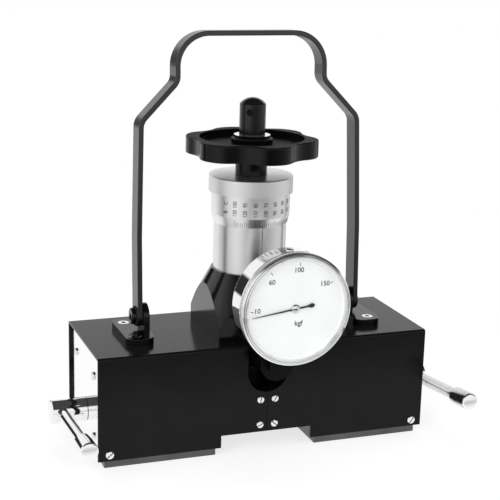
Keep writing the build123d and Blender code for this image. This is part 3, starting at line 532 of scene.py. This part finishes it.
def cut(bm, tool):
    """A shape less a tool."""
    body = new_object("cut", to_mesh("cut", bm))
    cutter = new_object("cut", to_mesh("cut", tool))
    boolean = body.modifiers.new("cut", "BOOLEAN")
    boolean.operation = "DIFFERENCE"
    boolean.solver = "EXACT"
    boolean.object = cutter
    shape = body.evaluated_get(bpy.context.evaluated_depsgraph_get())
    result = bmesh.new()
    result.from_mesh(shape.to_mesh())
    for obj in (body, cutter):
        mesh = obj.data
        bpy.data.objects.remove(obj)
        bpy.data.meshes.remove(mesh)
    return result


def second_look(bm, chosen):
    """A shape that has the second of a piece's looks on the faces whose middle is chosen."""
    for face in bm.faces:
        if chosen(face.calc_center_median()):
            face.material_index = 1
    return bm


def add_piece(name, bm, body, slot, replaces=(), smooth=35.0, looks=()):
    """Makes an object of a shape in millimetres that rides on a body, in its slot's look or in others.

    An edge is sharp where its faces meet at more than smooth, in degrees.
    """
    many_sided = [face for face in bm.faces if len(face.verts) > 4]
    bmesh.ops.triangulate(bm, faces=many_sided, ngon_method="BEAUTY")
    bmesh.ops.dissolve_degenerate(bm, edges=bm.edges, dist=SLIVER)
    bm.transform(Matrix.Scale(MM, 4))
    mesh = to_mesh(name, bm)
    for look in looks or (materials[slot],):
        mesh.materials.append(look)
    mesh.shade_smooth()
    mesh.set_sharp_from_angle(angle=math.radians(smooth))
    obj = new_object(name, mesh)
    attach(obj, body)
    if replaces:
        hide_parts(*replaces)
    return obj


def lettering(text, height, weight=0.0, narrow=1.0):
    """Printed characters of that height as a solid of unit thickness about the origin, in XY."""
    curve = bpy.data.curves.new("lettering", "FONT")
    curve.body = text
    curve.offset = weight
    curve.extrude = 0.5
    curve.resolution_u = CURVE_STEPS
    obj = new_object("lettering", curve)
    shape = obj.evaluated_get(bpy.context.evaluated_depsgraph_get())
    mesh = bpy.data.meshes.new_from_object(shape)
    bm = bmesh.new()
    bm.from_mesh(mesh)
    bpy.data.objects.remove(obj)
    bpy.data.curves.remove(curve)
    bpy.data.meshes.remove(mesh)
    bmesh.ops.remove_doubles(bm, verts=bm.verts, dist=WELD)
    xs = [v.co.x for v in bm.verts]
    ys = [v.co.y for v in bm.verts]
    scale = height / (max(ys) - min(ys))
    middle = Vector((min(xs) + max(xs), min(ys) + max(ys), 0)) / 2
    for v in bm.verts:
        v.co = (v.co - middle) * scale
        v.co.x *= narrow
        v.co.z = 1.0 if v.co.z > 0 else 0.0
    return bm


# Screws
# Screws take the plating and, in their slots and sockets, the painted shade
screw_looks = (materials["bright_screw"], painted_slot_shade)
dome_steps = 7


def pan_screw(head_r, head, shank_r, length, slot_width, slot_depth, edge=0.6):
    """A slotted screw whose head stands on Z 0, rounded at the top over a share of its height."""
    dome = edge * head
    profile = [(0, -length), (shank_r, -length), (shank_r, 0), (head_r, 0), (head_r, head - dome)]
    for k in range(1, dome_steps + 1):
        angle = k / dome_steps * math.pi / 2
        profile.append((head_r - dome * (1 - math.cos(angle)), head - dome + dome * math.sin(angle)))
    profile.append((0, head))
    slot_floor = head - slot_depth
    slot = prism(rectangle(3 * head_r, slot_width), slot_floor, head + OVERSHOOT)

    def in_slot(middle):
        """Whether a face is in the slot."""
        return abs(middle.y) < slot_width / 2 + TOUCH and middle.z > slot_floor - TOUCH

    return second_look(cut(lathe(profile, SCREW_SIDES), slot), in_slot)


def socket_screw(head_r, shank_r, length, flats, depth, edge=0.25):
    """A countersunk screw level with Z 0, with a hexagon socket."""
    profile = [
        (0, -length), (shank_r, -length), (shank_r, shank_r - head_r),
        (head_r, -edge), (head_r - edge, 0), (0, 0),
    ]
    socket = prism(hexagon(flats), -depth, OVERSHOOT)

    def in_socket(middle):
        """Whether a face is in the socket."""
        return middle.xy.length < flats / 2 + TOUCH and -depth - TOUCH < middle.z < -TOUCH

    return second_look(cut(lathe(profile, SCREW_SIDES), socket), in_socket)


def add_screws(name, screw, places, turns, node, body="base"):
    """Sets a screw at each place, turned by its own angle in degrees, instead of a CAD node."""
    turned = [place @ spin(turn) for place, turn in zip(places, turns)]
    add_piece(name, placed(screw, *turned), body, "bright_screw", [node], looks=screw_looks)


cover_low, cover_high = span("left_cover")[0], span("right_cover")[1]


def on_covers(xs, zs):
    """Placings on the front and the back of the covers."""
    return [
        facing((x, y, z), out, (-out[1], 0, 0))
        for out, y in ((FRONT, cover_low.y), (BACK, cover_high.y))
        for x in xs
        for z in zs
    ]


corner_inset = 8.5
corner_x = cover_high.x - corner_inset
corner_low, corner_high = span("corner_screws")
corner_z = (corner_low.z + corner_high.z) / 2
add_screws(
    "slotted_corner_screws",
    pan_screw(head_r=3.25, head=2.0, shank_r=2.0, length=7.0, slot_width=0.8, slot_depth=0.9),
    on_covers((-corner_x, corner_x), [corner_z]),
    turns=(38, 52, 15, 100),
    node="corner_screws",
)

seam_head_r, seam_x = 2.9, 5.75
seam_low, seam_high = span("seam_screws")
add_screws(
    "slotted_seam_screws",
    pan_screw(seam_head_r, head=2.0, shank_r=2.0, length=7.0, slot_width=0.75, slot_depth=0.9),
    on_covers((-seam_x, seam_x), (seam_low.z + seam_head_r, seam_high.z - seam_head_r)),
    turns=(25, 80, 140, 60, 10, 95, 40, 120),
    node="seam_screws",
)

plate_low, plate_high = span("left_end_plate")[0], span("right_end_plate")[1]
plate_head_r, plate_y = 3.0, 28.0
plate_screw_low, plate_screw_high = span("end_plate_screws")
plate_places = [
    facing((x, y, z), (side, 0, 0), (0, side, 0))
    for side, x in ((-1, plate_low.x), (1, plate_high.x))
    for y in (-plate_y, plate_y)
    for z in (plate_screw_low.z + plate_head_r, plate_screw_high.z - plate_head_r)
]
add_screws(
    "slotted_plate_screws",
    pan_screw(plate_head_r, head=1.6, shank_r=1.9, length=2.8, slot_width=0.7, slot_depth=0.8, edge=0.85),
    plate_places,
    turns=(88, 94, 85, 92, 150, 45, 88, 20),
    node="end_plate_screws",
)

bracket_head_r = 4.4
bracket_reach = span("bracket_screws")[1] - Vector((bracket_head_r, bracket_head_r, 0))
bracket_places = [
    facing((x * bracket_reach.x, y * bracket_reach.y, bracket_reach.z), UP, RIGHT)
    for x in (-1, 1)
    for y in (-1, 1)
]
add_screws(
    "socket_bracket_screws",
    socket_screw(bracket_head_r, shank_r=2.5, length=14.0, flats=3.4, depth=1.8),
    bracket_places,
    turns=(10, 40, 25, 55),
    node="bracket_screws",
)

# The photograph shows no head standing out on the right, so that bolt has a low one
bolt_low, bolt_high = span("pivot_bolts")
bolt_z = (bolt_low.z + bolt_high.z) / 2
bolt_head, bolt_head_r = 3.1, 6.25
low_head, low_head_r = 1.2, 5.2
bolt_shank, bolt_shank_r, bolt_flats = 9.1, 4.0, 4.0
bolt_seat_edge = 0.3
bolt_top_share = 0.35  # of a head's height, rounded off at its top


def pivot_bolt(head_r, head, socket):
    """A bolt with a round head that stands on Z 0 and a hexagon socket."""
    profile = rounded([
        (0, -bolt_shank), (bolt_shank_r, -bolt_shank), (bolt_shank_r, 0), (head_r, 0, bolt_seat_edge),
        (head_r, head, bolt_top_share * head), (0, head),
    ])
    return cut(lathe(profile), prism(hexagon(bolt_flats), head - socket, head + OVERSHOOT))


left_seat = facing((bolt_low.x + bolt_head, 0, bolt_z), LEFT, FRONT)
right_seat = facing((bolt_high.x - bolt_head, 0, bolt_z), RIGHT, BACK)
add_piece(
    "socket_pivot_bolts",
    joined([
        placed(pivot_bolt(bolt_head_r, bolt_head, socket=1.8), left_seat),
        placed(pivot_bolt(low_head_r, low_head, socket=0.9), right_seat),
    ]),
    "base", "handle_black", ["pivot_bolts"], looks=(bracket_lacquer,),
)

case_head = 1.9
case_screw_low, case_screw_high = span("case_screw")
case_middle = (case_screw_low + case_screw_high) / 2
add_screws(
    "slotted_case_screw",
    pan_screw(head_r=3.0, head=case_head, shank_r=1.4, length=2.6, slot_width=0.8, slot_depth=0.9),
    [facing((case_middle.x, case_middle.y, case_screw_high.z - case_head), UP, RIGHT)],
    turns=[35],
    node="case_screw",
    body="load_head",
)


# Gauge: heights are from the base's middle towards the front, and radii from the gauge's axis
bezel_low, bezel_high = span("bezel")
gauge_z = (bezel_low.z + bezel_high.z) / 2
gauge = facing((0, 0, gauge_z), FRONT, RIGHT)
bezel_r = (bezel_high.x - bezel_low.x) / 2
bezel_back, bezel_front = -bezel_high.y, -bezel_low.y
crystal_low, crystal_high = span("crystal")
crystal_r = (crystal_high.x - crystal_low.x) / 2
crystal_front = -crystal_low.y
case_low, case_high = span("gauge_case")
case_r, case_front = case_high.x, -case_low.y
dial_front = -span("dial_face")[0].y

# Bezel: a lip that slopes to the rim, with a groove round it, and a straight knurl on the side
lip_overlap, lip_flat, lip_inner_edge, lip_outer_edge = 0.9, 0.5, 0.2, 0.4
lip_r = crystal_r - lip_overlap
lip_angle = 33.0
lip_slope = math.tan(math.radians(lip_angle))
rim_edge = 0.5
groove_r, groove_width, groove_depth = 39.5, 0.8, 0.75
knurl_depth, knurl_ridges, knurl_steps = 0.22, 288, 4
knurl_behind, knurl_ahead = 0.7, 2.9
knurl_low, knurl_high = bezel_back + knurl_behind, bezel_front - knurl_ahead
# At each end of the knurl the side steps in
relief, relief_run = 0.25, 0.2
back_chamfer = 0.1
case_gap = 0.1


def on_lip(r):
    """A point of the bezel's sloping lip."""
    return (r, bezel_front - (r - lip_r - lip_flat) * lip_slope)


groove_inner = on_lip(groove_r - groove_width / 2)
groove_outer = on_lip(groove_r + groove_width / 2)
groove_floor = groove_inner[1] - groove_depth
bezel_rows = rounded([
    (lip_r, bezel_front, lip_inner_edge),
    (lip_r + lip_flat, bezel_front, lip_outer_edge),
    groove_inner,
    (groove_r - groove_width / 4, groove_floor),
    (groove_r + groove_width / 4, groove_floor),
    groove_outer,
    (*on_lip(bezel_r), rim_edge),
    (bezel_r - relief, knurl_high + relief_run),
    (bezel_r, knurl_high),
    (bezel_r, knurl_low),
    (bezel_r - relief, knurl_low - relief_run),
    (bezel_r - back_chamfer, bezel_back),
    (case_r + case_gap, bezel_back),
    (case_r + case_gap, case_front + case_gap),
    (crystal_r, case_front + case_gap),
    (crystal_r, crystal_front),
    (lip_r, crystal_front),
])
knurl_rows = [
    k
    for k, (r, height) in enumerate(bezel_rows)
    if r > bezel_r - TOUCH and knurl_low - TOUCH < height < knurl_high + TOUCH
]


def knurl(row, step):
    """The cut of the bezel's straight knurl at a row and a step round it."""
    if row not in knurl_rows:
        return 0.0
    return -knurl_depth * abs(2 * (step % knurl_steps) / knurl_steps - 1)


bezel = lathe(bezel_rows, knurl_ridges * knurl_steps, ring=True, wave=knurl)
add_piece("knurled_bezel", placed(bezel, gauge), "bezel", "chrome", ["bezel"], smooth=28.0)

# Printed dial: (word, height, across, up) from the gauge's axis
print_lift, print_sink, print_weight = 0.06, 0.02, 0.014
number_size, unit_size = 3.6, 5.0
dial_words = (
    ("10", number_size, -28.0, 0.4),
    ("60", number_size, -18.0, 20.5),
    ("100", number_size, 2.3, 28.1),
    ("150", number_size, 22.3, 17.0),
    ("kgf", unit_size, 3.0, -11.2),
)
# Ticks by their angle from the left, clockwise
dial_ticks = (-0.2, 55.2, 94.8, 147.5)
tick_inner, tick_outer, tick_width = 30.9, 33.4, 0.46


def on_dial(bm):
    """Sets a solid of unit thickness on the dial's face, as thin as print."""
    for v in bm.verts:
        v.co.z = dial_front - print_sink + v.co.z * (print_lift + print_sink)
    bm.transform(gauge)
    return bm


dial_marks = []
for word, height, across, up in dial_words:
    letters = lettering(word, height, weight=print_weight)
    letters.transform(Matrix.Translation((across, up, 0)))
    dial_marks.append(on_dial(letters))
for angle in dial_ticks:
    tick = prism(rectangle(tick_outer - tick_inner, tick_width, (tick_inner + tick_outer) / 2), 0, 1)
    tick.transform(spin(180 - angle))
    dial_marks.append(on_dial(tick))
add_piece("dial_print", joined(dial_marks), "bezel", "pointer_black")

# Pointer: a tapering needle with a spade tail and a bright, domed boss
pointer_back = -span("pointer")[1].y
needle_drop = 8.0  # degrees below level
needle_place = gauge @ spin(180 + needle_drop) @ Matrix.Translation((0, 0, pointer_back))
needle_thick, needle_bevel = 0.5, 0.1
# One side, from the tip to the tail
needle_side = [
    (32.5, 0.12), (20.0, 0.36), (3.0, 0.6), (-9.2, 0.6), (-10.4, 0.95), (-11.6, 1.5), (-12.6, 1.6),
    (-13.6, 1.25), (-14.5, 0.55),
]
needle_outline = needle_side + [(x, -y) for x, y in reversed(needle_side)]
needle = prism(needle_outline, 0.0, needle_thick)
top_edges = [e for e in needle.edges if all(v.co.z > needle_thick / 2 for v in e.verts)]
bmesh.ops.bevel(needle, geom=top_edges, offset=needle_bevel, segments=2, affect="EDGES", profile=0.5)
add_piece("pointer_needle", placed(needle, needle_place), "pointer", "pointer_black", ["pointer"])

boss_r, boss_height, boss_rise, boss_steps = 3.3, 1.4, 1.2, 10
boss_ball = (boss_r**2 + boss_rise**2) / (2 * boss_rise)
boss_lean = math.asin(boss_r / boss_ball)
boss_profile = [(0, 0.0), (boss_r, 0.0)]
for k in range(boss_steps, -1, -1):
    lean = k * boss_lean / boss_steps
    boss_profile.append((boss_ball * math.sin(lean), boss_height - boss_ball * (1 - math.cos(lean))))
boss = lathe(boss_profile, SCREW_SIDES)
add_piece("pointer_boss", placed(boss, needle_place), "pointer", "bright_screw")

rivet_r, rivet_low, rivet_top, rivet_edge = 0.6, 0.85, 1.46, 0.2
rivet_profile = rounded([
    (0, rivet_low), (rivet_r, rivet_low), (rivet_r, rivet_top, rivet_edge), (0, rivet_top),
])
rivet = lathe(rivet_profile, SMALL_SIDES)
add_piece("pointer_rivet", placed(rivet, needle_place), "pointer", "pointer_black")


# Levers, by their angle above level in degrees
lever_angles = {"left": 3.5, "right": 6.2}
# The right knob takes the darker chrome, which is painted shade
knob_looks = {"left": materials["chrome"], "right": shaded_chrome}
knob_start, knob_length, knob_r = 72.6, 22.8, 6.5
knob_edge, knob_chamfer = 1.5, 0.8
crown_r, crown_stops = 26.0, (4.4, 2.2, 0.0)
rod_r, rod_grip = 4.55, 3.4


def crown(r):
    """A point of the knob's slightly crowned end."""
    return (r, knob_length - r * r / (2 * crown_r))


def on_knob_end(middle):
    """Whether a face is on the knob's end."""
    return middle.z > knob_length - knob_edge


knob_profile = rounded([
    (0, rod_grip), (rod_r, rod_grip), (rod_r, 0), (knob_r - knob_chamfer, 0), (knob_r, knob_chamfer),
    (*crown(knob_r), knob_edge), *[crown(r) for r in crown_stops],
])
for side, angle in lever_angles.items():
    rod_low, rod_high = span(side + "_rod")
    hub_low, hub_high = span(side + "_shaft_hub")
    pivot = ((rod_low.x + rod_high.x) / 2, 0, (hub_low.z + hub_high.z) / 2)
    tilt = math.radians(angle)
    lever = facing(pivot, (0, -math.cos(tilt), math.sin(tilt)), RIGHT)
    knob = second_look(lathe(knob_profile), on_knob_end)
    add_piece(
        side + "_turned_knob",
        placed(knob, lever @ Matrix.Translation((0, 0, knob_start))),
        side + "_lever", "chrome", [side + "_knob"], looks=(knob_looks[side], knob_end_chrome),
    )


# Drum and sleeve: the scales are on a band and their ticks on the bevel below it
bevel_low_r, scale_r = 28.1, 29.7
bevel_low_z, scale_z = span("drum")[0].z, 174.6
# Each row is a letter, its numbers and its height
scale_rows = (("C", range(100, -1, -10), 185.4), ("B", range(130, 29, -10), 178.9))
first_angle, number_step = -43.0, 15.2
numeral_size, numeral_weight, numeral_narrow = 3.2, 0.007, 0.78
letter_size = 1.1 * numeral_size
ticks_between = 5
long_tick, short_tick, drum_tick_width, tick_start = 5.2, 3.6, 0.26, 0.25
mark_lift, mark_sink = 0.07, 0.05
slice_width, slices_each_way = 0.45, 4


def drum_point(arc, z, lift):
    """A point on the drum's scale by its angle from the front, towards +X, and its height."""
    share = min(1.0, max(0.0, (z - bevel_low_z) / (scale_z - bevel_low_z)))
    r = bevel_low_r + share * (scale_r - bevel_low_r) + lift
    return Vector((r * math.sin(arc), -r * math.cos(arc), z))


def on_drum(bm, angle, z):
    """Slices a solid of unit thickness and wraps it round the drum as thin print, its Y up the axis."""
    for k in range(-slices_each_way, slices_each_way + 1):
        bmesh.ops.bisect_plane(
            bm, geom=list(bm.verts) + list(bm.edges) + list(bm.faces),
            plane_co=(k * slice_width, 0, 0), plane_no=RIGHT,
        )
    for v in bm.verts:
        arc = math.radians(angle) + v.co.x / scale_r
        v.co = drum_point(arc, z + v.co.y, v.co.z * (mark_lift + mark_sink) - mark_sink)
    return bm


drum_marks = []
for letter, values, z in scale_rows:
    words = [(letter, letter_size)] + [(str(value), numeral_size) for value in values]
    for k, (word, size) in enumerate(words):
        letters = lettering(word, size, weight=numeral_weight, narrow=numeral_narrow)
        letters.transform(spin(90))
        drum_marks.append(on_drum(letters, first_angle + (k - 1) * number_step, z))
intervals = len(scale_rows[0][1]) - 1
for k in range(intervals * ticks_between + 1):
    length = short_tick if k % ticks_between else long_tick
    tick = prism(rectangle(drum_tick_width, length, 0, length / 2), 0, 1)
    angle = first_angle + k * number_step / ticks_between
    drum_marks.append(on_drum(tick, angle, bevel_low_z + tick_start))
add_piece("drum_scale_print", joined(drum_marks), "drum", "pointer_black")

sleeve_r = span("sleeve")[1].x
index_low, index_high, index_width = 146.0, 172.0, 0.4
index_lift, index_sink = 0.04, 0.05
index_outline = rectangle(index_width, index_high - index_low)
index = prism(index_outline, sleeve_r - index_sink, sleeve_r + index_lift)
index_place = facing((0, 0, (index_low + index_high) / 2), FRONT, RIGHT)
add_piece("sleeve_index_line", placed(index, index_place), "base", "pointer_black")


# Floor and studio
floor_r, floor_ring, floor_z = 420.0, 120.0, -0.1
floor_mottle = 30.0  # features per metre
floor_fade = (-0.27, -0.16)  # metres along Y
floor_fade_levels = (0.35, 1.0)
camera_share, mirror_share = 0.75, 0.9  # of plain white over the shadowed paper
darkest = 0.97  # how dark the darkest panel is
soft_level = 0.85  # how bright the studio is to surfaces that don't mirror it


def studio_floor():
    """A white floor that keeps the object's shadow and shows white in metal and to the camera."""
    material, graph = bare_material("studio_floor")
    place = graph.add("TexCoord").outputs["Object"]
    colour = tones(graph, graph.noise(place, floor_mottle), greys(0.9, 0.92))
    paper = graph.add("BsdfDiffuse", {"Color": colour})
    mirrored, straight = graph.ray_kinds()
    # In metal and gloss the floor falls off towards the unlit front of the studio
    fall = graph.spread(graph.part(place, "Y"), floor_fade, floor_fade_levels)
    level = graph.math("MULTIPLY_ADD", mirrored, fall, straight)
    white = graph.add("Emission", {"Color": WHITE, "Strength": level})
    share = graph.math(
        "MAXIMUM",
        graph.math("MULTIPLY", straight, camera_share),
        graph.math("MULTIPLY", mirrored, mirror_share),
    )
    graph.mixed_surface(share, paper.outputs["BSDF"], white.outputs["Emission"])
    return material


def studio_world():
    """A white studio all round, in which metal and gloss also see dark panels."""
    world = bpy.data.worlds.new("studio")
    world.use_nodes = True
    world.cycles.sampling_method = "NONE"
    graph = Graph(world.node_tree)
    direction = graph.add("TexCoord").outputs["Generated"]
    frontward = graph.math("MULTIPLY", graph.part(direction, "Y"), -1.0)
    turn = graph.math("ARCTAN2", graph.part(direction, "X"), frontward)
    # Round the studio from behind, by the left, the front and the right
    place = graph.math("ADD", graph.math("DIVIDE", turn, 2 * math.pi), 0.5)
    # From straight down to straight up, by the height of the direction
    climb = graph.math("MULTIPLY_ADD", graph.part(direction, "Z"), 0.5, 0.5)
    round_level = graph.grey_ramp(place, (
        (0.10, 0.0), (0.17, 0.55), (0.22, 0.5), (0.28, 0.25), (0.34, 0.05),
        (0.41, 0.5), (0.46, 1.0), (0.50, 1.0), (0.56, 0.95), (0.66, 0.55),
        (0.75, 0.3), (0.85, 0.0), (0.90, 0.9), (0.94, 0.9), (0.97, 0.0),
    ))
    below_level = graph.band(climb, 0.2, 0.3, 0.425, 0.475)
    rear = graph.band(place, 0.02, 0.035, 0.085, 0.105)
    at_level = graph.band(climb, 0.445, 0.465, 0.6, 0.62)
    right = graph.band(place, 0.60, 0.64, 0.76, 0.80)
    above_level = graph.grey_ramp(climb, ((0.58, 0.0), (0.61, darkest)))
    dark = graph.grey_ramp(climb, ((0.76, 0.0), (0.81, darkest)))
    for round_about, up_and_down in ((round_level, below_level), (rear, at_level), (right, above_level)):
        panel = graph.math("MULTIPLY", round_about, up_and_down)
        dark = graph.math("MAXIMUM", dark, panel)
    panelled = graph.math("MULTIPLY_ADD", dark, -darkest, 1.0)
    mirrored, straight = graph.ray_kinds()
    seen = graph.math("MULTIPLY_ADD", panelled, mirrored, straight)
    unseen = graph.math("SUBTRACT", 1.0, graph.math("MAXIMUM", mirrored, straight))
    background = world.node_tree.nodes["Background"]
    graph.put(background.inputs["Strength"], graph.math("MULTIPLY_ADD", unseen, soft_level, seen))
    background.inputs["Color"].default_value = WHITE
    return world


floor_bm = lathe([(0, floor_z), (floor_ring, floor_z), (floor_r, floor_z)], FLOOR_SIDES)
floor_bm.transform(Matrix.Scale(MM, 4))
for face in floor_bm.faces:
    if face.normal.z < 0:
        face.normal_flip()
floor_mesh = to_mesh("floor", floor_bm)
floor_mesh.materials.append(studio_floor())
floor = new_object("floor", floor_mesh)

scene.world = studio_world()

# Lamps, in metres and watts
lamp_target = Vector((0.0, 0.0, 0.12))


def softbox(name, eye, size, power):
    """A lamp with a rectangular face, turned towards the object and unseen in metal and gloss."""
    lamp = bpy.data.lights.new(name, "AREA")
    lamp.shape = "RECTANGLE"
    lamp.size, lamp.size_y = size
    lamp.energy = power
    obj = new_object(name, lamp)
    obj.location = eye
    obj.rotation_euler = (lamp_target - Vector(eye)).to_track_quat("-Z", "Y").to_euler()
    obj.visible_glossy = False


softbox("left_softbox", eye=(-0.9, -0.75, 0.75), size=(0.7, 0.9), power=9.0)
softbox("top_softbox", eye=(0.1, 0.1, 1.2), size=(0.9, 0.7), power=4.0)
softbox("right_fill", eye=(0.9, -0.9, 0.6), size=(0.6, 0.8), power=4.0)


# Camera, as fitted to the photograph
azimuth, elevation, roll = (math.radians(angle) for angle in (-20.49, 14.33, 1.53))
target = Vector((0.758, 0.0, 144.12))
distance = 990.97
focal_px, image_px, sensor = 1295.96, 500.0, 36.0
away = Vector((
    math.sin(azimuth) * math.cos(elevation),
    -math.cos(azimuth) * math.cos(elevation),
    math.sin(elevation),
))
level_right = Vector((math.cos(azimuth), math.sin(azimuth), 0.0))
rolled_right = math.cos(roll) * level_right + math.sin(roll) * away.cross(level_right)
camera_data = bpy.data.cameras.new("camera")
camera_data.sensor_width = sensor
camera_data.lens = focal_px * sensor / image_px
camera_data.clip_start = 0.05
camera = new_object("camera", camera_data)
camera.matrix_world = facing((target + away * distance) * MM, away, rolled_right)
scene.camera = camera

bpy.context.view_layer.update()
